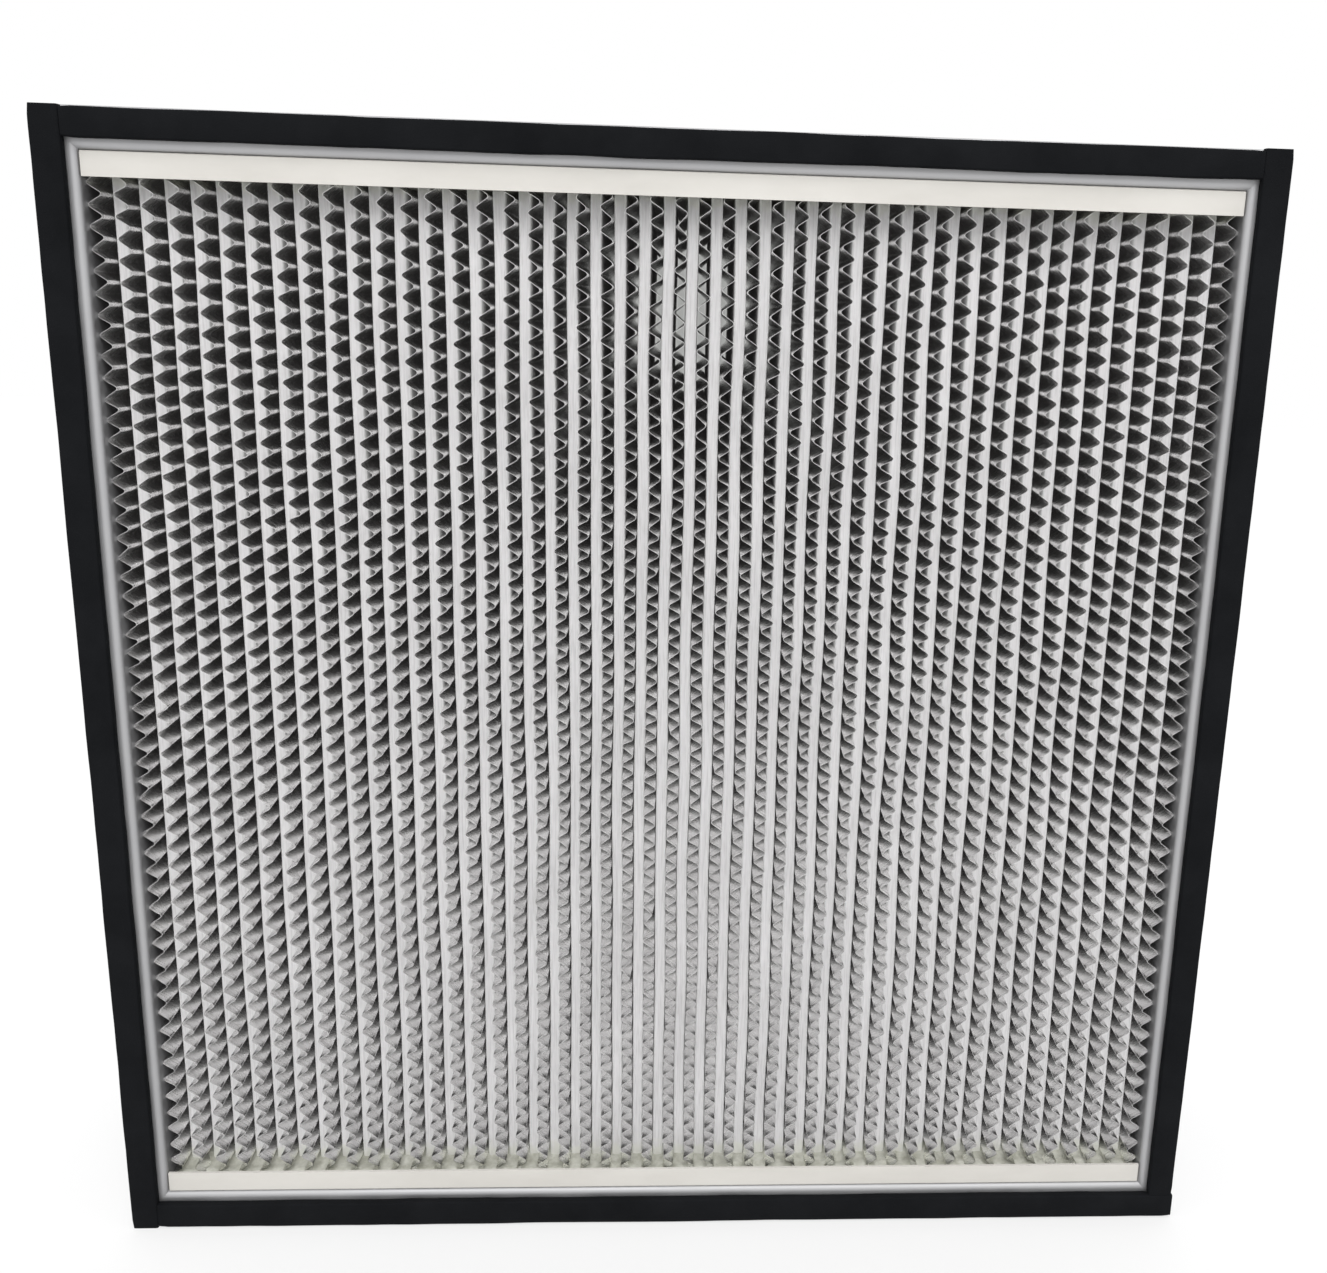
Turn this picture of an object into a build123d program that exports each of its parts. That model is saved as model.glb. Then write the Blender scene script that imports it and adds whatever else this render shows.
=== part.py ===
from build123d import *
import math
import os

# Deep-pleat air filter panel, standing on its bottom casing member.
# X runs along the width, Y from the gasket face to the rear, Z up. Millimetres.
# The origin is the middle of the base.

# Casing of four mitred hollow members
casing_width = 610.0
casing_height = 610.0
casing_depth = 150.0
member_thickness = 20.0
wall_thickness = 1.5
web_thickness = 1.5
end_chamber_depth = 46.0
rim_radius = 3.5
outer_edge_radius = 1.0

# Corner keys, pressed into the front and rear chambers of two members
key_leg = 62.0
key_plate = 3.0
key_rib = 2.5
key_lead_in = 4.0
key_clearance = 0.2

# Foam gasket in four strips, glued to the front flange
gasket_width = 15.0
gasket_thickness = 5.0
gasket_edge_radius = 1.2

# Angle strips that hold back the potting at the pack's two faces
strip_height = 12.0
strip_foot = 10.0
strip_thickness = 1.5
strip_bend_radius = 1.0
strip_setback = 1.0
strip_end_gap = 0.5

# Pleated media, its folds set back equally from the front and the rear of the casing
fold_count = 46
fold_recess = 20.5
media_thickness = 0.4

# Corrugated separators, which stand proud of the folds that they hold open
separator_recess = 7.0
separator_thickness = 0.2
separator_half_waves = 13
separator_nose_gap = 1.0
separator_side_clearance = 0.03

# Bead that seals each end of the media to the side wall
sealant_size = 5.0

# Places worked out from the sizes above
gasket_face_y = -(casing_depth + gasket_thickness) / 2
flange_y = gasket_face_y + gasket_thickness
rear_y = flange_y + casing_depth

opening_width = casing_width - 2 * member_thickness
wall_x = opening_width / 2
opening_bottom_z = member_thickness
opening_top_z = casing_height - member_thickness
pack_bottom_z = opening_bottom_z + strip_height
pack_top_z = opening_top_z - strip_height
pack_height = pack_top_z - pack_bottom_z

fold_front_y = flange_y + fold_recess
fold_rear_y = rear_y - fold_recess

# The same separator fills the inside of a fold and the channel between two folds.
channel_count = 2 * fold_count + 1
all_media = 2 * media_thickness * fold_count
channel_width = (opening_width - all_media) / channel_count
fold_width = channel_width + 2 * media_thickness
pleat_pitch = fold_width + channel_width
first_fold_x = -wall_x + channel_width + fold_width / 2
fold_centres = [first_fold_x + i * pleat_pitch for i in range(fold_count)]

parts = {}


def block(x_range, y_range, z_range):
    """Box between two corners, given as a low and a high value for each axis."""
    low = Vector(x_range[0], y_range[0], z_range[0])
    high = Vector(x_range[1], y_range[1], z_range[1])
    size = high - low
    return Pos((low + high) / 2) * Box(size.X, size.Y, size.Z)


def edges_at(solid, along, **place):
    """Straight edges along one axis, at the given centre coordinates."""
    chosen = solid.edges().filter_by(along)
    for name, value in place.items():
        chosen = [e for e in chosen if abs(getattr(e.center(), name) - value) < 1e-4]
    return chosen


# Casing members
# Each one is drawn as the bottom member, with its outer face on the XY plane, and then
# turned about Y to its own side.

def member_section():
    """Hollow section: X of the sketch is the depth, Y of the sketch is the thickness."""
    outline = Pos(casing_depth / 2, member_thickness / 2) * Rectangle(casing_depth, member_thickness)
    inner_corners = outline.vertices().sort_by(Axis.Y)[-2:]
    outline = fillet(inner_corners, rim_radius)
    outer_corners = outline.vertices().sort_by(Axis.Y)[:2]
    outline = fillet(outer_corners, outer_edge_radius)
    for low, high in chamber_ranges():
        outline -= chamber_section(low, high)
    return outline


def chamber_ranges():
    """Depth ranges of the front, middle and rear chambers, from the flange's face."""
    front = (wall_thickness, wall_thickness + end_chamber_depth)
    rear = (casing_depth - front[1], casing_depth - front[0])
    middle = (front[1] + web_thickness, rear[0] - web_thickness)
    return [front, middle, rear]


def chamber_section(low, high):
    """One chamber, rounded where it follows the rim."""
    height = member_thickness - 2 * wall_thickness
    chamber = Pos((low + high) / 2, member_thickness / 2) * Rectangle(high - low, height)
    rim_side = [wall_thickness, casing_depth - wall_thickness]
    near_rim = [
        v for v in chamber.vertices()
        if v.Y > member_thickness / 2 and min(abs(v.X - x) for x in rim_side) < 1e-6
    ]
    if near_rim:
        chamber = fillet(near_rim, rim_radius - wall_thickness)
    return chamber


def casing_member(length):
    """Bottom member of the given outer length, with both ends mitred."""
    section_plane = Plane(origin=(-length / 2, flange_y, 0), x_dir=(0, 1, 0), z_dir=(1, 0, 0))
    bar = extrude(section_plane * member_section(), length)
    half = length / 2
    mitre = Polyline(
        (-half, 0),
        (half, 0),
        (half - member_thickness, member_thickness),
        (-half + member_thickness, member_thickness),
        close=True,
    )
    mitre_plane = Plane(origin=(0, rear_y, 0), x_dir=(1, 0, 0), z_dir=(0, -1, 0))
    return bar & extrude(mitre_plane * make_face(mitre), casing_depth)


# Corner keys
# Each key is an L of thin plate against the members' outer walls, stiffened by two ribs.

def key_outline(inset, reach):
    """L outline in the corner at the origin, from inset to reach, with lead-in at the leg ends."""
    return make_face(Polyline(
        (inset, inset),
        (key_leg - key_lead_in, inset),
        (key_leg, inset + key_lead_in / 2),
        (key_leg, reach),
        (reach, reach),
        (reach, key_leg),
        (inset + key_lead_in / 2, key_leg),
        (inset, key_leg - key_lead_in),
        close=True,
    ))


def corner_key(low_y, high_y):
    """Key for the lower left corner, in the chamber between two depths."""
    rim_corner = rim_radius - wall_thickness
    reach = member_thickness - wall_thickness - rim_corner - key_clearance
    width = high_y - low_y - 2 * key_clearance
    base = Plane(origin=(0, high_y - key_clearance, 0), x_dir=(1, 0, 0), z_dir=(0, -1, 0))
    body = extrude(base * key_outline(wall_thickness, reach), width)
    pocket_outline = key_outline(wall_thickness + key_plate, reach)
    pocket = extrude(base.offset(key_rib) * pocket_outline, width - 2 * key_rib)
    leg_ends = extrude(base.offset(key_rib) * key_end_cuts(reach), width - 2 * key_rib)
    return body - pocket - leg_ends


def key_end_cuts(reach):
    """Opens the pocket through the ends of both legs."""
    low = wall_thickness + key_plate
    middle = (low + reach) / 2
    size = reach - low
    along_x = Pos(key_leg - key_lead_in, middle) * Rectangle(4 * key_lead_in, size)
    along_z = Pos(middle, key_leg - key_lead_in) * Rectangle(size, 4 * key_lead_in)
    return along_x + along_z


# Gasket strips

def gasket_strip(x_range, z_range, length_axis):
    """Foam strip on the flange, with its two long front edges rounded."""
    strip = block(x_range, (gasket_face_y, flange_y), z_range)
    front_edges = edges_at(strip, length_axis, Y=gasket_face_y)
    return fillet(front_edges, gasket_edge_radius)


def add_gasket():
    """The left strip runs full height, the bottom strip under the right one, the top one between."""
    half = casing_width / 2
    left = (-half, -half + gasket_width)
    right = (half - gasket_width, half)
    bottom = (0, gasket_width)
    top = (casing_height - gasket_width, casing_height)
    parts["gasket_left"] = gasket_strip(left, (0, casing_height), Axis.Z)
    parts["gasket_bottom"] = gasket_strip((left[1], half), bottom, Axis.X)
    parts["gasket_right"] = gasket_strip(right, (bottom[1], casing_height), Axis.Z)
    parts["gasket_top"] = gasket_strip((left[1], right[0]), top, Axis.X)


# Retaining strips and potting

def retaining_strip():
    """Front bottom strip: an angle whose foot lies on the bottom member."""
    face_y = flange_y + strip_setback
    section = Polyline(
        (face_y, opening_bottom_z),
        (face_y + strip_foot, opening_bottom_z),
        (face_y + strip_foot, opening_bottom_z + strip_thickness),
        (face_y + strip_thickness, opening_bottom_z + strip_thickness),
        (face_y + strip_thickness, pack_bottom_z),
        (face_y, pack_bottom_z),
        close=True,
    )
    length = opening_width - 2 * strip_end_gap
    section_plane = Plane(origin=(-length / 2, 0, 0), x_dir=(0, 1, 0), z_dir=(1, 0, 0))
    strip = extrude(section_plane * make_face(section), length)
    bend = edges_at(strip, Axis.X, Y=face_y, Z=opening_bottom_z)
    return fillet(bend, strip_bend_radius)


def to_rear(solid):
    """Mirror a piece from the front of the casing to the rear."""
    return mirror(solid, Plane.XZ.offset(-(flange_y + rear_y) / 2))


def to_top(solid):
    """Mirror a piece from the bottom of the casing to the top."""
    return mirror(solid, Plane.XY.offset(casing_height / 2))


def to_right(solid):
    """Mirror a piece from the left of the casing to the right."""
    return mirror(solid, Plane.YZ)


def add_strips_and_potting():
    """Four strips, and a cast bed between each front and rear pair."""
    front_bottom = retaining_strip()
    rear_bottom = to_rear(front_bottom)
    parts["front_strip_bottom"] = front_bottom
    parts["front_strip_top"] = to_top(front_bottom)
    parts["rear_strip_bottom"] = rear_bottom
    parts["rear_strip_top"] = to_top(rear_bottom)
    depth = strip_setback + strip_thickness
    bed = block(
        (-wall_x, wall_x),
        (flange_y + depth, rear_y - depth),
        (opening_bottom_z, pack_bottom_z),
    )
    bed = bed - front_bottom - rear_bottom
    parts["potting_bottom"] = bed
    parts["potting_top"] = to_top(bed)


# Bent sheets

def sheet_face(path, thickness, end_cut):
    """Outline of a bent sheet: the path, offset to both sides, with mitred bends.

    Both ends are cut along the direction end_cut.
    """
    points = [Vector(*p) for p in path]
    normals = []
    for start, end in zip(points, points[1:]):
        run = (end - start).normalized()
        normals.append(Vector(-run.Y, run.X))
    mitres = [end_cut]
    mitres += [(a + b).normalized() for a, b in zip(normals, normals[1:])]
    mitres += [end_cut]
    nearby = [normals[0]] + normals
    offsets = [m * (thickness / 2 / m.dot(n)) for m, n in zip(mitres, nearby)]
    one_side = [p + o for p, o in zip(points, offsets)]
    other_side = [p - o for p, o in zip(points, offsets)]
    return make_face(Polyline(*one_side, *reversed(other_side), close=True))


def pleated_media():
    """One continuous sheet: every fold reaches the front, and both ends turn out to the walls."""
    front = fold_front_y + media_thickness / 2
    rear = fold_rear_y - media_thickness / 2
    half = (fold_width - media_thickness) / 2
    path = [(-wall_x, rear)]
    for x in fold_centres:
        path += [(x - half, rear), (x - half, front), (x + half, front), (x + half, rear)]
    path.append((wall_x, rear))
    face = sheet_face(path, media_thickness, Vector(0, 1))
    return extrude(Pos(0, 0, pack_bottom_z) * face, pack_height)


def separator():
    """Corrugated sheet centred on x = 0, from its free front edge to the rear fold that stops it."""
    low_y = flange_y + separator_recess
    high_y = fold_rear_y - media_thickness - separator_nose_gap
    reach = channel_width / 2 - separator_side_clearance
    wave = pack_height / separator_half_waves
    slope = 2 * reach / wave
    half = reach - separator_thickness / 2 * math.hypot(1, slope)
    path = []
    for i in range(separator_half_waves + 1):
        side = -1 if i % 2 == 0 else 1
        path.append((side * half, pack_bottom_z + i * wave))
    face = sheet_face(path, separator_thickness, Vector(1, 0))
    upright = Plane(origin=(0, high_y, 0), x_dir=(1, 0, 0), z_dir=(0, -1, 0))
    return extrude(upright * face, high_y - low_y)


def add_pack():
    """The media, one separator in each front channel and one inside each fold."""
    parts["pleated_media"] = pleated_media()
    front_one = separator()
    rear_one = to_rear(front_one)
    front_places = [fold_centres[0] - pleat_pitch / 2]
    front_places += [x + pleat_pitch / 2 for x in fold_centres]
    parts["front_separators"] = [Pos(x, 0, 0) * front_one for x in front_places]
    parts["rear_separators"] = [Pos(x, 0, 0) * rear_one for x in fold_centres]


def side_sealant():
    """Quarter-round bead behind the media's left end, against the left wall."""
    plane = Plane(origin=(-wall_x, fold_rear_y, pack_bottom_z))
    bead = Circle(sealant_size)
    quarter = Pos(sealant_size / 2, sealant_size / 2) * Rectangle(sealant_size, sealant_size)
    return extrude(plane * (bead & quarter), pack_height)


def add_casing():
    """Members turned to their sides, with a key in both end chambers of every corner."""
    upright_middle = casing_height / 2
    level = casing_member(casing_width)
    upright = casing_member(casing_height)
    parts["casing_bottom"] = level
    parts["casing_top"] = Pos(0, 0, casing_height) * Rot(0, 180, 0) * level
    parts["casing_left"] = Pos(-casing_width / 2, 0, upright_middle) * Rot(0, 90, 0) * upright
    parts["casing_right"] = Pos(casing_width / 2, 0, upright_middle) * Rot(0, -90, 0) * upright

    chambers = chamber_ranges()
    for end, (low, high) in (("front", chambers[0]), ("rear", chambers[2])):
        key = Pos(-casing_width / 2, 0, 0) * corner_key(flange_y + low, flange_y + high)
        parts[f"corner_key_{end}_bottom_left"] = key
        parts[f"corner_key_{end}_bottom_right"] = to_right(key)
        parts[f"corner_key_{end}_top_left"] = to_top(key)
        parts[f"corner_key_{end}_top_right"] = to_right(to_top(key))


def add_sealant():
    """One bead down each rear corner of the pack."""
    bead = side_sealant()
    parts["side_sealant_left"] = bead
    parts["side_sealant_right"] = to_right(bead)


def write_parts():
    """One STEP file for each node; a group of like pieces is one compound."""
    os.makedirs("parts", exist_ok=True)
    for name, shape in parts.items():
        if isinstance(shape, list):
            shape = Compound(children=[s.solid() for s in shape])
        export_step(shape, f"parts/{name}.step")


add_casing()
add_gasket()
add_strips_and_potting()
add_pack()
add_sealant()
write_parts()
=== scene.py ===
import bpy
import math
import numpy as np
from mathutils import Matrix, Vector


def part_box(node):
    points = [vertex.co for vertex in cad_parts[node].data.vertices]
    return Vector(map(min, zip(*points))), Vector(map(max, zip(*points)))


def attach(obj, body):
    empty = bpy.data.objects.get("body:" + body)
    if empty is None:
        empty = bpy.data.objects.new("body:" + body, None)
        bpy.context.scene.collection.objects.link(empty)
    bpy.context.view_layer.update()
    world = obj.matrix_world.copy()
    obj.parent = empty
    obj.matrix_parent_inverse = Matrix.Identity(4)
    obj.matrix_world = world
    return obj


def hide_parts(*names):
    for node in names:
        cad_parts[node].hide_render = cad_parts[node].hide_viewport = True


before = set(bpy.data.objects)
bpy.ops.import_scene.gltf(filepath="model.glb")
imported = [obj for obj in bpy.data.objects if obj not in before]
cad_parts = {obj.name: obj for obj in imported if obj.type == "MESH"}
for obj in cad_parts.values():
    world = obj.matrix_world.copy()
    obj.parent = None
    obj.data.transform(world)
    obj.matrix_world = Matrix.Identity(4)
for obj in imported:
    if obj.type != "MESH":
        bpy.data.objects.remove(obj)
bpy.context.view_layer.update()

# Lengths below are in millimetres, and MM turns them into metres.
MM = 0.001
random_seed = 4610
rng = np.random.default_rng(random_seed)

# Sizes of the panel, as in the CAD
wall_x = 285.0
pack_bottom_z = 32.0
pack_top_z = 578.0
pack_height = pack_top_z - pack_bottom_z
separator_front_y = -65.5
separator_rear_y = 70.5
fold_front_y = -52.0
fold_rear_y = 57.0
fold_count = 46
media_thickness = 0.4
channel_width = 5.733
pleat_pitch = 12.267
first_fold_x = -276.0

# Camera fitted to the four corners of the panel in the photograph
camera_place = (6.44, -724.66, 523.19)
camera_pan = -3.3708
camera_tilt = 13.0750
camera_roll = 1.6855
camera_lens = 34.410
camera_sensor = 36.0
camera_shift = (-0.07031, -0.02119)
camera_near = 50.0
camera_far = 60000.0


def make_camera():
    data = bpy.data.cameras.new("camera")
    data.lens = camera_lens
    data.sensor_width = camera_sensor
    data.shift_x = camera_shift[0]
    data.shift_y = camera_shift[1]
    data.clip_start = camera_near * MM
    data.clip_end = camera_far * MM
    camera = bpy.data.objects.new("camera", data)
    bpy.context.scene.collection.objects.link(camera)
    turn = Matrix.Rotation(math.radians(camera_pan), 4, "Z")
    turn = turn @ Matrix.Rotation(math.radians(90 - camera_tilt), 4, "X")
    turn = turn @ Matrix.Rotation(math.radians(camera_roll), 4, "Z")
    place = [v * MM for v in camera_place]
    camera.matrix_world = Matrix.Translation(place) @ turn
    bpy.context.scene.camera = camera


# Node helpers
# Most values of a noise texture lie between these two.
noise_low = 0.3
noise_high = 0.7


def new_material(name):
    material = bpy.data.materials.new(name)
    material.use_nodes = True
    shader = material.node_tree.nodes["Principled BSDF"]
    return material, material.node_tree, shader


def set_sockets(shader, **values):
    """Sets constants on the shader's own sockets, with _ in place of the spaces in their names."""
    for name, value in values.items():
        shader.inputs[name.replace("_", " ")].default_value = value


def add_node(tree, kind, **values):
    """Adds a node, and sets its properties and the inputs that have these names."""
    made = tree.nodes.new(kind)
    for name, value in values.items():
        if hasattr(made, name):
            setattr(made, name, value)
        else:
            made.inputs[name.replace("_", " ")].default_value = value
    return made


def place_in_mm(tree, stretch=(1.0, 1.0, 1.0)):
    """Object coordinates in millimetres, each axis multiplied by its stretch."""
    source = add_node(tree, "ShaderNodeTexCoord")
    mapping = add_node(tree, "ShaderNodeMapping")
    mapping.inputs["Scale"].default_value = [s / MM for s in stretch]
    tree.links.new(source.outputs["Object"], mapping.inputs["Vector"])
    return mapping.outputs["Vector"]


def split_axes(tree, vector):
    made = add_node(tree, "ShaderNodeSeparateXYZ")
    tree.links.new(vector, made.inputs["Vector"])
    return made.outputs


def combine(tree, operation, *values):
    """A sum, product or the like of node outputs and numbers."""
    made = add_node(tree, "ShaderNodeMath", operation=operation)
    for socket, value in zip(made.inputs, values):
        if isinstance(value, float):
            socket.default_value = value
        else:
            tree.links.new(value, socket)
    return made.outputs[0]


def noise(tree, vector, scale, detail=3.0, roughness=0.5):
    made = add_node(tree, "ShaderNodeTexNoise", Scale=scale, Detail=detail, Roughness=roughness)
    tree.links.new(vector, made.inputs["Vector"])
    return made.outputs["Fac"]


def remap(tree, value, low, high, to_low, to_high):
    made = add_node(tree, "ShaderNodeMapRange")
    made.inputs["From Min"].default_value = low
    made.inputs["From Max"].default_value = high
    made.inputs["To Min"].default_value = to_low
    made.inputs["To Max"].default_value = to_high
    tree.links.new(value, made.inputs["Value"])
    return made.outputs["Result"]


def spread(tree, texture, to_low, to_high):
    """A noise texture's values spread between two others."""
    return remap(tree, texture, noise_low, noise_high, to_low, to_high)


def ramp(tree, value, stops):
    made = add_node(tree, "ShaderNodeValToRGB")
    band = made.color_ramp
    band.elements[0].position = stops[0][0]
    band.elements[0].color = (*stops[0][1], 1.0)
    band.elements[1].position = stops[-1][0]
    band.elements[1].color = (*stops[-1][1], 1.0)
    for place, color in stops[1:-1]:
        band.elements.new(place).color = (*color, 1.0)
    tree.links.new(value, made.inputs["Fac"])
    return made.outputs["Color"]


def tint(tree, texture, colors):
    """A dark and a light colour, mixed by a noise texture."""
    return ramp(tree, texture, [(noise_low, colors[0]), (noise_high, colors[1])])


def mix_colors(tree, share, first, second):
    made = add_node(tree, "ShaderNodeMix", data_type="RGBA")
    tree.links.new(share, made.inputs[0])
    for socket, value in ((6, first), (7, second)):
        if isinstance(value, tuple):
            made.inputs[socket].default_value = (*value, 1.0)
        else:
            tree.links.new(value, made.inputs[socket])
    return made.outputs[2]


def bump(tree, shader, height, distance, strength=1.0, before=None):
    """Bump of a depth in millimetres, after an earlier bump if one is given."""
    made = add_node(tree, "ShaderNodeBump", Strength=strength, Distance=distance * MM)
    tree.links.new(height, made.inputs["Height"])
    if before is not None:
        tree.links.new(before, made.inputs["Normal"])
    tree.links.new(made.outputs["Normal"], shader.inputs["Normal"])
    return made.outputs["Normal"]


# Materials: the dark and the light colour of each
casing_colors = ((0.45, 0.45, 0.46), (0.53, 0.53, 0.535))
key_colors = ((0.45, 0.46, 0.47), (0.62, 0.63, 0.64))
foam_colors = ((0.0045, 0.0050, 0.0060), (0.0080, 0.0086, 0.0100))
cream_colors = ((0.60, 0.58, 0.54), (0.67, 0.65, 0.61))
bead_colors = ((0.40, 0.39, 0.28), (0.56, 0.55, 0.42))
potting_colors = ((0.50, 0.50, 0.42), (0.80, 0.80, 0.73))
foil_colors = ((0.74, 0.73, 0.73), (0.86, 0.855, 0.85))
paper_stops = [(0.25, (0.74, 0.73, 0.73)), (0.5, (0.88, 0.87, 0.875)), (0.75, (0.95, 0.94, 0.945))]
# Resin that soaked into the ends of the paper and crept up the foil, and how far it reaches
resin_stain = (0.88, 0.88, 0.83)
paper_soak = 4.5
foil_soak = 3.0
soak_wander = 0.6
# Painted glow: an emission on the channels' far walls that stands for light coming through the thin paper
# there
painted_paper_glow = 0.27
painted_paper_glow_color = (0.98, 1.0, 0.97, 1.0)
far_wall_depths = (-20.0, -45.0)
# Painted glow: an emission on the side walls near the folds' edges that stands for light spreading round them
# inside the paper
painted_edge_glow = 0.16
edge_reach = 9.0
# Painted glow: an even emission on the foil that stands for light that has wandered along the channels
painted_foil_glow = 0.005
painted_foil_glow_color = (1.0, 0.97, 0.95, 1.0)
# Share of a noise's scale that is left along a grain, which draws it out into lines
draw_stretch = 0.004
streak_stretch = 0.04
roll_stretch = 0.06
paint_stretch = 0.3


def aluminium_casing(name, along):
    """Satin extruded aluminium with fine draw lines along the member."""
    material, tree, shader = new_material(name)
    stretch = [draw_stretch if axis == along else 1.0 for axis in "XYZ"]
    lines = noise(tree, place_in_mm(tree, stretch), scale=6.0, detail=4.0, roughness=0.6)
    clouds = noise(tree, place_in_mm(tree), scale=0.02, detail=4.0, roughness=0.55)
    tree.links.new(tint(tree, clouds, casing_colors), shader.inputs["Base Color"])
    tree.links.new(spread(tree, clouds, 0.52, 0.64), shader.inputs["Roughness"])
    bump(tree, shader, lines, distance=0.015, strength=0.5)
    set_sockets(shader, Metallic=1.0)
    return material


def cast_key():
    material, tree, shader = new_material("corner_key")
    grain = noise(tree, place_in_mm(tree), scale=1.6, detail=5.0, roughness=0.6)
    tree.links.new(tint(tree, grain, key_colors), shader.inputs["Base Color"])
    tree.links.new(spread(tree, grain, 0.42, 0.6), shader.inputs["Roughness"])
    bump(tree, shader, grain, distance=0.15)
    set_sockets(shader, Metallic=1.0)
    return material


def foam():
    """Black closed-cell foam, with cells cut open on its faces."""
    material, tree, shader = new_material("gasket_foam")
    place = place_in_mm(tree)
    cells = add_node(tree, "ShaderNodeTexVoronoi", Scale=1.7)
    tree.links.new(place, cells.inputs["Vector"])
    clouds = noise(tree, place, scale=0.03, roughness=0.6)
    tree.links.new(tint(tree, clouds, foam_colors), shader.inputs["Base Color"])
    first = bump(tree, shader, cells.outputs["Distance"], distance=0.25, strength=0.5)
    bump(tree, shader, noise(tree, place, scale=0.25), distance=0.5, strength=0.5, before=first)
    set_sockets(shader, Roughness=0.85, Specular_IOR_Level=0.1)
    return material


def cream_paint():
    material, tree, shader = new_material("strip_paint")
    clouds = noise(tree, place_in_mm(tree, (paint_stretch, 1.0, 1.0)), scale=0.05, detail=5.0, roughness=0.6)
    tree.links.new(tint(tree, clouds, cream_colors), shader.inputs["Base Color"])
    bump(tree, shader, noise(tree, place_in_mm(tree), scale=0.5), distance=0.05, strength=0.4)
    set_sockets(shader, Roughness=0.42)
    return material


def resin(name, colors):
    """Cast potting resin, glossy in places and matted where the media soaked it up."""
    material, tree, shader = new_material(name)
    place = place_in_mm(tree)
    clouds = noise(tree, place, scale=0.2, detail=5.0, roughness=0.6)
    tree.links.new(tint(tree, clouds, colors), shader.inputs["Base Color"])
    tree.links.new(spread(tree, clouds, 0.3, 0.6), shader.inputs["Roughness"])
    bump(tree, shader, noise(tree, place, scale=0.5, detail=4.0), distance=0.4, strength=0.6)
    return material


def near_resin(tree, reach):
    """One at the two ends of the pack, where the resin soaked in, and nothing further than that."""
    place = place_in_mm(tree)
    middle = (pack_bottom_z + pack_top_z) / 2
    half = pack_height / 2
    far = combine(tree, "ABSOLUTE", combine(tree, "SUBTRACT", split_axes(tree, place)["Z"], middle))
    patches = noise(tree, place, scale=0.15, detail=1.0, roughness=0.6)
    wander = spread(tree, patches, -soak_wander * reach, soak_wander * reach)
    return remap(tree, combine(tree, "ADD", far, wander), half - reach, half, 0.0, 1.0)


def paper_painted_glow(tree):
    """Painted glow of the channels' far walls, seen from either side, and of side walls near the folds'
    edges, given as an emission strength.
    """
    place = split_axes(tree, place_in_mm(tree))
    source = add_node(tree, "ShaderNodeTexCoord")
    facing = split_axes(tree, source.outputs["Normal"])
    deep = combine(tree, "MULTIPLY", place["Y"], facing["Y"])
    far_wall = remap(tree, deep, *far_wall_depths, 0.0, painted_paper_glow)
    middle = (fold_front_y + fold_rear_y) / 2
    half = (fold_rear_y - fold_front_y) / 2
    away = combine(tree, "ABSOLUTE", combine(tree, "SUBTRACT", place["Y"], middle))
    near_edge = remap(tree, away, half - edge_reach, half, 0.0, 1.0)
    near_edge = combine(tree, "POWER", near_edge, 2.0)
    sideways = combine(tree, "ABSOLUTE", facing["X"])
    side_wall = combine(tree, "MULTIPLY", near_edge, combine(tree, "MULTIPLY", sideways, painted_edge_glow))
    return combine(tree, "ADD", far_wall, side_wall)


def fibre_paper():
    """Matte white glass-fibre paper with faint streaks up the sheet, soaked with resin at its ends, and with
    a painted glow deep in the channels and near the folds' edges.
    """
    material, tree, shader = new_material("media_paper")
    streaks = noise(tree, place_in_mm(tree, (1.0, 1.0, streak_stretch)), scale=1.2, detail=2.0, roughness=0.6)
    clean = ramp(tree, streaks, paper_stops)
    color = mix_colors(tree, near_resin(tree, paper_soak), clean, resin_stain)
    tree.links.new(color, shader.inputs["Base Color"])
    bump(tree, shader, streaks, distance=0.25, strength=0.6)
    tree.links.new(paper_painted_glow(tree), shader.inputs["Emission Strength"])
    material.cycles.emission_sampling = "NONE"
    set_sockets(shader, Emission_Color=painted_paper_glow_color, Roughness=0.95, Specular_IOR_Level=0.2)
    return material


def foil():
    """Bright rolled foil with a faint painted glow. Its fine roll lines run across the ridges, along the
    strip it was cut from.
    """
    material, tree, shader = new_material("separator_foil")
    place = place_in_mm(tree, (roll_stretch, 1.0, roll_stretch))
    rolled = noise(tree, place, scale=0.7, detail=2.0, roughness=0.7)
    clean = tint(tree, noise(tree, place_in_mm(tree), scale=0.12, detail=1.0), foil_colors)
    color = mix_colors(tree, near_resin(tree, foil_soak), clean, resin_stain)
    tree.links.new(color, shader.inputs["Base Color"])
    tree.links.new(spread(tree, rolled, 0.18, 0.34), shader.inputs["Roughness"])
    bump(tree, shader, rolled, distance=0.09, strength=0.8)
    material.cycles.emission_sampling = "NONE"
    set_sockets(shader, Emission_Color=painted_foil_glow_color, Emission_Strength=painted_foil_glow, Metallic=1.0)
    return material


def seen_background(tree):
    """One for rays of the camera and of reflections, nothing for the light on the object."""
    path = add_node(tree, "ShaderNodeLightPath")
    mirrored = combine(tree, "MAXIMUM", path.outputs["Is Glossy Ray"], path.outputs["Is Transmission Ray"])
    return combine(tree, "MAXIMUM", path.outputs["Is Camera Ray"], mirrored)


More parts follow.
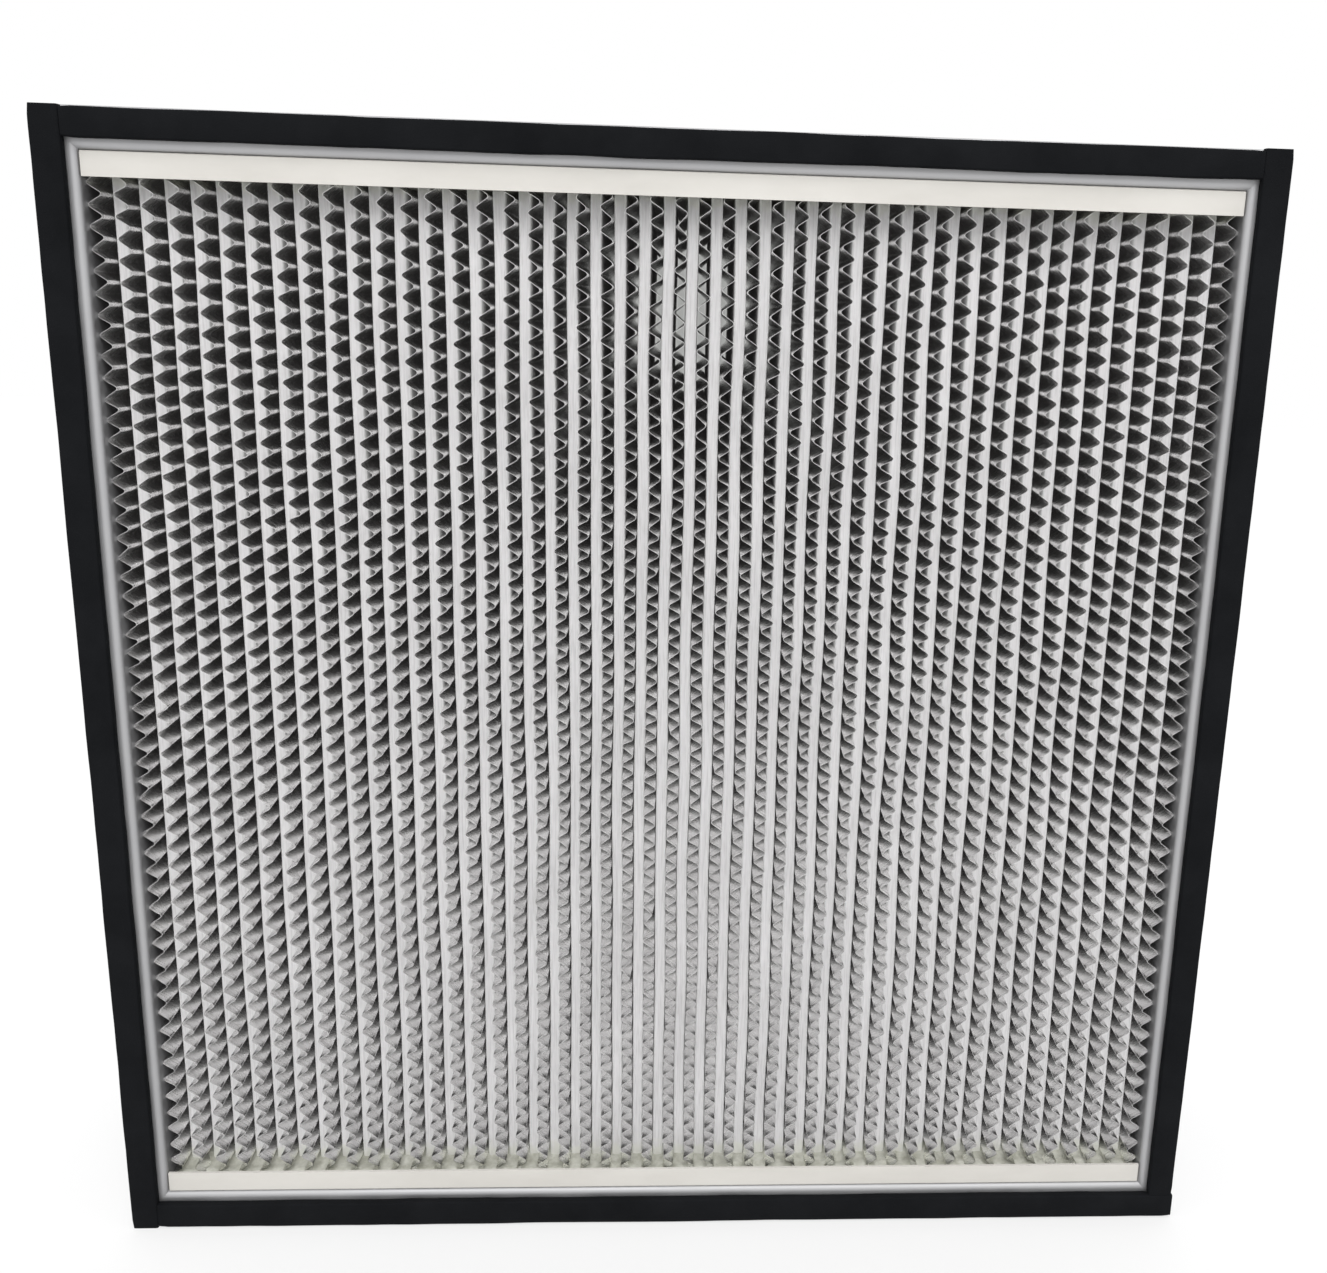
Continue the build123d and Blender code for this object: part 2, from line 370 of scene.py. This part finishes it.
def floor_paint():
    """White seen by the camera and in reflections, mid grey for the light that it throws back."""
    material, tree, shader = new_material("floor_paint")
    seen = seen_background(tree)
    stops = [(0.0, (floor_bounce,) * 3), (1.0, (floor_white,) * 3)]
    tree.links.new(ramp(tree, seen, stops), shader.inputs["Base Color"])
    tree.links.new(remap(tree, seen, 0.0, 1.0, 0.0, floor_glow), shader.inputs["Emission Strength"])
    set_sockets(shader, Emission_Color=(1.0, 1.0, 1.0, 1.0), Roughness=1.0, Specular_IOR_Level=0.0)
    return material


# Light and surroundings
floor_bounce = 0.4
floor_white = 0.3
floor_glow = 0.6
floor_half = 6000.0
floor_drop = 0.2
# Sky by height, from straight down at 0 to straight up at 1
sky_levels = [(0.0, 0.15), (0.45, 0.15), (0.5, 1.25), (1.0, 1.35)]
lamp_place = (300, -3800, 4200)
lamp_aim = (0, 0, 300)
lamp_width = 4000
lamp_height = 3000
lamp_watts = 130.0


def make_world():
    world = bpy.data.worlds.new("surroundings")
    world.use_nodes = True
    bpy.context.scene.world = world
    tree = world.node_tree
    back = tree.nodes["Background"]
    source = add_node(tree, "ShaderNodeTexCoord")
    height = remap(tree, split_axes(tree, source.outputs["Generated"])["Z"], -1.0, 1.0, 0.0, 1.0)
    around = ramp(tree, height, [(place, (level,) * 3) for place, level in sky_levels])
    color = mix_colors(tree, seen_background(tree), around, (1.0, 1.0, 1.0))
    tree.links.new(color, back.inputs["Color"])
    back.inputs["Strength"].default_value = 1.0


def look_matrix(direction):
    """Turn that points an object's own -Z along a direction."""
    back = -direction / np.linalg.norm(direction)
    side = np.cross((0.0, 0.0, 1.0), back)
    side = side / np.linalg.norm(side)
    up = np.cross(back, side)
    turn = Matrix.Identity(4)
    for row in range(3):
        turn[row][0] = side[row]
        turn[row][1] = up[row]
        turn[row][2] = back[row]
    return turn


def make_lamp():
    data = bpy.data.lights.new("lamp_above", "AREA")
    data.shape = "RECTANGLE"
    data.size = lamp_width * MM
    data.size_y = lamp_height * MM
    data.energy = lamp_watts
    lamp = bpy.data.objects.new("lamp_above", data)
    bpy.context.scene.collection.objects.link(lamp)
    start = np.array(lamp_place) * MM
    lamp.matrix_world = Matrix.Translation(start) @ look_matrix(np.array(lamp_aim) * MM - start)


def make_floor():
    half = floor_half * MM
    corners = [(-half, -half, 0), (half, -half, 0), (half, half, 0), (-half, half, 0)]
    mesh = bpy.data.meshes.new("floor")
    mesh.from_pydata(corners, [], [(0, 1, 2, 3)])
    mesh.materials.append(floor_paint())
    floor = bpy.data.objects.new("floor", mesh)
    floor.location.z = -floor_drop * MM
    bpy.context.scene.collection.objects.link(floor)


# Mesh helpers
def make_piece(name, points, quads, material, node, smooth_angle):
    """A piece of quads, its points in millimetres, which stands for a CAD node."""
    mesh = bpy.data.meshes.new(name)
    mesh.vertices.add(len(points))
    mesh.vertices.foreach_set("co", (np.asarray(points, float) * MM).astype(np.float32).ravel())
    mesh.loops.add(quads.size)
    mesh.loops.foreach_set("vertex_index", quads.astype(np.int32).ravel())
    mesh.polygons.add(len(quads))
    mesh.polygons.foreach_set("loop_start", np.arange(0, quads.size, 4, dtype=np.int32))
    mesh.update(calc_edges=True)
    mesh.validate()
    mesh.materials.append(material)
    mesh.polygons.foreach_set("use_smooth", np.ones(len(mesh.polygons), bool))
    mesh.set_sharp_from_angle(angle=math.radians(smooth_angle))
    piece = bpy.data.objects.new(name, mesh)
    bpy.context.scene.collection.objects.link(piece)
    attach(piece, "root")
    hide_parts(node)


def sheet_quads(rows, columns):
    """Quads of a closed sheet of two skins, each a grid, the second numbered after the first."""
    grid = np.arange(rows * columns).reshape(rows, columns)
    skin = rows * columns
    corners = [grid[:-1, :-1], grid[:-1, 1:], grid[1:, 1:], grid[1:, :-1]]
    front = np.stack(corners, -1).reshape(-1, 4)
    back = front[:, ::-1] + skin
    rim = np.concatenate([grid[0, :], grid[1:, -1], grid[-1, -2::-1], grid[-2:0:-1, 0]])
    after = np.roll(rim, -1)
    edge = np.stack([rim, rim + skin, after + skin, after], -1)
    return np.concatenate([front, back, edge])


def join_meshes(meshes):
    """One array of points and one of quads from several."""
    points = []
    quads = []
    count = 0
    for some_points, some_quads in meshes:
        points.append(some_points)
        quads.append(some_quads + count)
        count += len(some_points)
    return np.concatenate(points), np.concatenate(quads)


def across_line(line, thickness):
    """Step from each point of a line, square to it, by half a thickness."""
    run = np.gradient(line, axis=0)
    run /= np.linalg.norm(run, axis=1)[:, None]
    return np.stack([-run[:, 1], run[:, 0]], 1) * thickness / 2


def value_noise(x, y, cell):
    """Smooth noise between 0 and 1 over a plane, from a random lattice."""
    across = (x - x.min()) / cell
    along = (y - y.min()) / cell
    lattice = rng.random((int(across.max()) + 2, int(along.max()) + 2))
    i = across.astype(int)
    j = along.astype(int)
    u = across - i
    v = along - j
    u = u * u * (3 - 2 * u)
    v = v * v * (3 - 2 * v)
    low = lattice[i, j] * (1 - u) + lattice[i + 1, j] * u
    high = lattice[i, j + 1] * (1 - u) + lattice[i + 1, j + 1] * u
    return low * (1 - v) + high * v


# The pack's folds stand a little uneven, and the separators between them follow.
sway_waves = 26
sway_x = 0.35
sway_y = 0.6
sway_length_x = 60.0
sway_length_z = 110.0
# The unevenness fades out over these lengths at the side walls and at the two ends.
wall_fade = 25.0
end_fade = 20.0
# In depth it fades out towards the rear, from its full size 80 in front of this place.
depth_fade_y = 30.0
depth_fade = 80.0
# Sideways shift of the folds at some places across the panel, bunched as they were packed
bunch_x = (-285, -262, -200, -120, -40, 0, 40, 120, 200, 260, 285)
bunch_shift = (0, 0.6, 1.6, 2.1, 2.1, 1.9, 1.5, 0.8, 0.1, -0.2, 0)


def sway_table():
    """Waves of the unevenness: their turns per millimetre, start, and shares in x and y."""
    made = []
    for _ in range(sway_waves):
        across = rng.uniform(-1, 1) * 2 * math.pi / sway_length_x
        up = rng.uniform(-1, 1) * 2 * math.pi / sway_length_z
        made.append((across, up, rng.uniform(0, 2 * math.pi), rng.normal(), rng.normal()))
    return np.array(made)


sway = sway_table()


def warp(points):
    """Moves points of the pack sideways and in depth by a smooth uneven field."""
    x = points[:, 0]
    z = points[:, 2]
    push_x = np.zeros(len(points))
    push_y = np.zeros(len(points))
    for across, up, start, share_x, share_y in sway:
        wave = np.sin(across * x + up * z + start)
        push_x += share_x * wave
        push_y += share_y * wave
    fade = np.clip((wall_x - np.abs(x)) / wall_fade, 0, 1)
    ends = np.clip(np.minimum(z - pack_bottom_z, pack_top_z - z) / end_fade, 0, 1)
    near = np.clip((depth_fade_y - points[:, 1]) / depth_fade, 0, 1)
    norm = math.sqrt(sway_waves / 2)
    moved = points.copy()
    moved[:, 0] += sway_x * push_x / norm * fade + np.interp(x, bunch_x, bunch_shift)
    moved[:, 1] += sway_y * push_y / norm * fade * near * ends
    return moved


# Pleated media. Each fold is a little narrower at its end than further in.
fold_radius = 0.8
fold_radius_steps = 3
fold_squeeze = 0.37
squeeze_depth = 14.0
media_rows = 50
# A corner stays as it is where the cosine between its two sides is beyond this.
corner_cosine = 0.5
# The paper and the foil run on this far into the resin.
sunk = 6.5
pack_smooth_angle = 50


def rounded_path(path, radius, steps):
    """Path with each sharp inner corner replaced by an arc."""
    made = [path[0]]
    for before, corner, after in zip(path[:-2], path[1:-1], path[2:]):
        back = (before - corner) / np.linalg.norm(before - corner)
        on = (after - corner) / np.linalg.norm(after - corner)
        if abs(np.dot(back, on)) > corner_cosine:
            made.append(corner)
            continue
        for step in range(steps + 1):
            angle = step / steps * math.pi / 2
            made.append(corner + radius * (back * (1 - math.sin(angle)) + on * (1 - math.cos(angle))))
    made.append(path[-1])
    return np.array(made)


def media_path():
    front = fold_front_y + media_thickness / 2
    rear = fold_rear_y - media_thickness / 2
    half = (channel_width + media_thickness) / 2
    wide = half + fold_squeeze
    narrow = half - fold_squeeze
    near = front + squeeze_depth
    far = rear - squeeze_depth
    left_side = [(wide, rear), (half, far), (half, near), (narrow, front)]
    path = [(-wall_x, rear)]
    for i in range(fold_count):
        x = first_fold_x + i * pleat_pitch
        path += [(x - across, y) for across, y in left_side]
        path += [(x + across, y) for across, y in reversed(left_side)]
    path.append((wall_x, rear))
    return rounded_path(np.array(path), fold_radius, fold_radius_steps)


def make_media():
    path = media_path()
    side = across_line(path, media_thickness)
    heights = np.linspace(pack_bottom_z - sunk, pack_top_z + sunk, media_rows + 1)
    skins = []
    for skin in (path + side, path - side):
        flat = np.repeat(skin[None, :, :], len(heights), 0)
        up = np.repeat(heights[:, None], len(path), 1)
        skins.append(np.concatenate([flat, up[:, :, None]], 2).reshape(-1, 3))
    points = warp(np.concatenate(skins))
    quads = sheet_quads(len(heights), len(path))
    make_piece("pleated_paper", points, quads, fibre_paper(), "pleated_media", pack_smooth_angle)


# Corrugated separators. The reach is how far a crest stands from the sheet's middle plane.
wave_half = 5.19
foil_thickness = 0.18
free_reach = 2.95
held_reach = 2.9
end_reach = 2.35
nose_gap = 1.0
# Points of one crest: place above or below its middle, and what its reach changes by there
crest_shape = [(-1.15, -0.7), (-0.6, -0.17), (0.0, 0.0), (0.6, -0.17), (1.15, -0.7)]
# Bends are laid out from below the pack to above it, and cut off at its ends.
bends_below = 4
bends_above = 2
# Scatter of the bends: their spacing swells and shrinks along the sheet, and varies from one to the next.
phase_step = 0.25
swell_share = 0.035
swell_turns = 1.2
swell_start = 0.5
spacing_scatter = 0.025
# Scatter of the free edge, with some crests dented
dent_share = 0.05
dent_depths = (0.3, 1.2)
reach_scatter = 0.12
height_scatter = 0.2
edge_scatter = 0.25


def bend_heights(start):
    """Heights of one separator's bends, whose spacing drifts as they were rolled."""
    z = pack_bottom_z - bends_below * wave_half + start * 2 * wave_half
    drift = rng.normal(0, swell_start)
    made = []
    while z < pack_top_z + bends_above * wave_half:
        made.append(z)
        share = (z - pack_bottom_z) / pack_height
        swell = swell_share * math.sin(2 * math.pi * swell_turns * share + drift)
        z += wave_half * (1 + swell + rng.normal(0, spacing_scatter))
    return np.array(made)


def foil_line(bends, sides, reach):
    """Points of a corrugated line across x and z, with rounded bends."""
    x = []
    z = []
    for height, side, far in zip(bends, sides, reach):
        for up, inset in crest_shape:
            x.append(side * (far + inset))
            z.append(height + up)
    return np.stack([x, z], 1)


def foil_lines(bends):
    """The separator's line at its free edge, where the folds begin, and at its hidden end."""
    count = len(bends)
    sides = np.where(np.arange(count) % 2 == 0, 1.0, -1.0)
    dents = np.where(rng.random(count) < dent_share, rng.uniform(*dent_depths, count), 0.0)
    free = free_reach + rng.normal(0, reach_scatter, count) - dents
    return [
        foil_line(bends + rng.normal(0, height_scatter, count), sides, free),
        foil_line(bends, sides, np.full(count, held_reach)),
        foil_line(bends, sides, np.full(count, end_reach)),
    ]


def foil_mesh(centre_x, start, places):
    """One separator, its three lines at these places in depth."""
    bends = bend_heights(start)
    lines = foil_lines(bends)
    inward = np.sign(places[1] - places[0])
    ragged = np.abs(rng.normal(0, edge_scatter, len(bends)))
    edge = places[0] + inward * np.repeat(ragged, len(crest_shape))
    skins = ([], [])
    for line, y in zip(lines, [edge, *places[1:]]):
        offset = across_line(line, foil_thickness)
        for skin, way in zip(skins, (1, -1)):
            shape = line + way * offset
            depth = np.broadcast_to(y, (len(line),))
            skin.append(np.stack([centre_x + shape[:, 0], depth, shape[:, 1]], 1))
    points = np.concatenate([np.concatenate(skin) for skin in skins])
    points[:, 2] = np.clip(points[:, 2], pack_bottom_z - sunk, pack_top_z + sunk)
    return points, sheet_quads(len(lines), len(edge))


def make_separators():
    material = foil()
    front_end = fold_rear_y - media_thickness - nose_gap
    rear_end = fold_front_y + media_thickness + nose_gap
    front_places = (separator_front_y, fold_front_y, front_end)
    rear_places = (separator_rear_y, fold_rear_y, rear_end)
    rows = (
        ("front", fold_count + 1, first_fold_x - pleat_pitch / 2, front_places),
        ("rear", fold_count, first_fold_x, rear_places),
    )
    start = 0.0
    for end, count, first_x, places in rows:
        meshes = []
        for i in range(count):
            start += rng.normal(0, phase_step)
            meshes.append(foil_mesh(first_x + i * pleat_pitch, start % 1, places))
        half = count // 2
        for side, some in (("left", meshes[:half]), ("right", meshes[half:])):
            points, quads = join_meshes(some)
            name = f"{end}_foil_{side}"
            node = f"{end}_separators"
            make_piece(name, warp(points), quads, material, node, pack_smooth_angle)


# Cast potting, lumpy where it set between the folds
potting_step = 2.2
# Its stations in depth are fine near the two strips, where it is seen, and few between.
potting_fine = 1.5
potting_visible = 24.0
potting_middle = 6
potting_depth = 12.0
potting_low = 1.3
potting_lump = 1.1
potting_least = 0.05
lump_cells = (9.0, 4.0)
# Where the resin lies lower, along the strips
potting_dip = 4.2
dip_places = (0.0, 14.0, 24.0)
potting_smooth_angle = 60


def potting_stations(low, high):
    near = np.arange(low, low + potting_visible, potting_fine)
    far = high - np.arange(0, potting_visible, potting_fine)[::-1]
    middle = np.linspace(near[-1], far[0], potting_middle)[1:-1]
    return np.concatenate([near, middle, far])


def potting_level(across, along):
    """How far the resin's surface lies inside the solid's, over a grid of places."""
    lumps = sum(value_noise(across, along, cell) / len(lump_cells) for cell in lump_cells)
    level = potting_low - potting_lump * (2 * lumps - 1)
    inside = np.minimum(along - along.min(), along.max() - along)
    level += np.interp(inside, dip_places, (potting_dip, potting_dip, 0.0))
    return np.clip(level, potting_least, None)


def make_potting(node, surface_z, base_z, material):
    low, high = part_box(node)
    x = np.linspace(-wall_x, wall_x, int(2 * wall_x / potting_step) + 1)
    y = potting_stations(low.y / MM, high.y / MM)
    across, along = np.meshgrid(x, y, indexing="ij")
    top = surface_z - np.sign(surface_z - base_z) * potting_level(across, along)
    bottom = np.full_like(top, base_z)
    skins = [np.stack([across, along, z], -1).reshape(-1, 3) for z in (top, bottom)]
    quads = sheet_quads(len(x), len(y))
    make_piece(f"{node}_cast", np.concatenate(skins), quads, material, node, potting_smooth_angle)


# Foam gasket of four strips cut by hand, their edges a little wavy
foam_station = 5.0
foam_round = 1.1
foam_round_steps = 3
foam_outer_wave = 0.36
foam_outer_shift = 0.4
foam_inner_wave = 0.48
foam_inner_middle = 0.75
foam_swell = 0.3
# Cells of the noises along each edge and of the thickness
outer_cells = (38.0, 13.0)
inner_cells = (30.0, 11.0)
swell_cell = 24.0
# The two end faces are this much smaller all round.
foam_end_inset = 0.35
# How far each strip's outer edge and its two ends stand back from the casing's outline
foam_strips = [
    ("gasket_left", "Z", 0.5, (0.0, 0.4)),
    ("gasket_right", "Z", 0.6, (0.0, 0.0)),
    ("gasket_top", "X", 1.2, (0.0, 0.0)),
    ("gasket_bottom", "X", 0.6, (0.0, 0.0)),
]
# A strip's outer edge is its high side if that lies beyond this place across or up.
outer_side_from = 300


def rounded_section(wide, deep):
    """Outline of a strip's section, with rounded corners."""
    made = []
    for corner_x, corner_y, turn in ((1, 1, 0), (0, 1, 1), (0, 0, 2), (1, 0, 3)):
        for step in range(foam_round_steps + 1):
            angle = (turn + step / foam_round_steps) * math.pi / 2
            centre_x = corner_x * wide + (foam_round if corner_x == 0 else -foam_round)
            centre_y = corner_y * deep + (foam_round if corner_y == 0 else -foam_round)
            made.append((centre_x + foam_round * math.cos(angle), centre_y + foam_round * math.sin(angle)))
    return np.array(made)


def edge_wave(place, cells):
    """Noise along a strip's edge, of a long wave and a short one of half its size."""
    zero = np.zeros(len(place))
    return value_noise(place, zero, cells[0]) + 0.5 * value_noise(place, zero, cells[1])


def make_foam(node, along, set_back, ends, material):
    low, high = (np.array(corner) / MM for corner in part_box(node))
    run, side = (2, 0) if along == "Z" else (0, 2)
    start = low[run] + ends[0]
    stop = high[run] - ends[1]
    place = np.linspace(start, stop, int((stop - start) / foam_station))
    wide = high[side] - low[side]
    deep = high[1] - low[1]
    section = rounded_section(wide, deep)
    outer = set_back - foam_outer_shift + foam_outer_wave * edge_wave(place, outer_cells)
    inner = foam_inner_wave * (edge_wave(place, inner_cells) - foam_inner_middle)
    swell = foam_swell * value_noise(place, np.zeros(len(place)), swell_cell)
    inset = np.zeros(len(place))
    inset[[0, -1]] = foam_end_inset
    from_low, from_high = (inner, outer) if high[side] > outer_side_from else (outer, inner)
    left_wide = wide - from_low - from_high - 2 * inset
    left_deep = deep - swell - inset
    grid = np.zeros((len(place), len(section), 3))
    grid[:, :, side] = (low[side] + from_low + inset)[:, None] + np.outer(left_wide, section[:, 0] / wide)
    grid[:, :, 1] = high[1] - np.outer(left_deep, 1 - section[:, 1] / deep)
    grid[:, :, run] = place[:, None]
    points, quads = tube(grid)
    make_piece(f"{node}_foam", points, quads, material, node, pack_smooth_angle)


def tube(grid):
    """Points and quads of a closed tube from rings of points, the first and last ring filled."""
    rings, around = grid.shape[:2]
    index = np.arange(rings * around).reshape(rings, around)
    after = np.roll(index, -1, axis=1)
    quads = np.stack([index[:-1], index[1:], after[1:], after[:-1]], -1).reshape(-1, 4)
    caps = []
    for ring, turn in ((index[0], 1), (index[-1], -1)):
        for k in range(around // 2 - 1):
            a, b = ring[k], ring[k + 1]
            c, d = ring[around - 2 - k], ring[around - 1 - k]
            caps.append((a, b, c, d)[::turn])
    return grid.reshape(-1, 3), np.concatenate([quads, np.array(caps)])


# Materials of the CAD solids that stay as they are
def dress_solids():
    level = aluminium_casing("casing_level", "X")
    upright = aluminium_casing("casing_upright", "Z")
    key = cast_key()
    cream = cream_paint()
    bead = resin("sealant_resin", bead_colors)
    for name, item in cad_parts.items():
        if name in ("casing_top", "casing_bottom"):
            material = level
        elif name.startswith("casing"):
            material = upright
        elif name.startswith("corner_key"):
            material = key
        elif "strip" in name:
            material = cream
        elif "sealant" in name:
            material = bead
        else:
            continue
        item.data.materials.clear()
        item.data.materials.append(material)


def limit_bounces():
    """Few bounces keep the render short. The glow of paper and foil stands for the light left out."""
    cycles = bpy.context.scene.cycles
    cycles.max_bounces = 3
    cycles.diffuse_bounces = 2
    cycles.glossy_bounces = 2
    cycles.transmission_bounces = 1
    cycles.use_light_tree = False


bpy.context.scene.view_settings.view_transform = "Standard"
limit_bounces()
make_camera()
make_world()
make_lamp()
make_floor()
dress_solids()
make_media()
make_separators()
potting_resin = resin("potting_resin", potting_colors)
make_potting("potting_bottom", pack_bottom_z, pack_bottom_z - potting_depth, potting_resin)
make_potting("potting_top", pack_top_z, pack_top_z + potting_depth, potting_resin)
black_foam = foam()
for node, along, set_back, ends in foam_strips:
    make_foam(node, along, set_back, ends, black_foam)
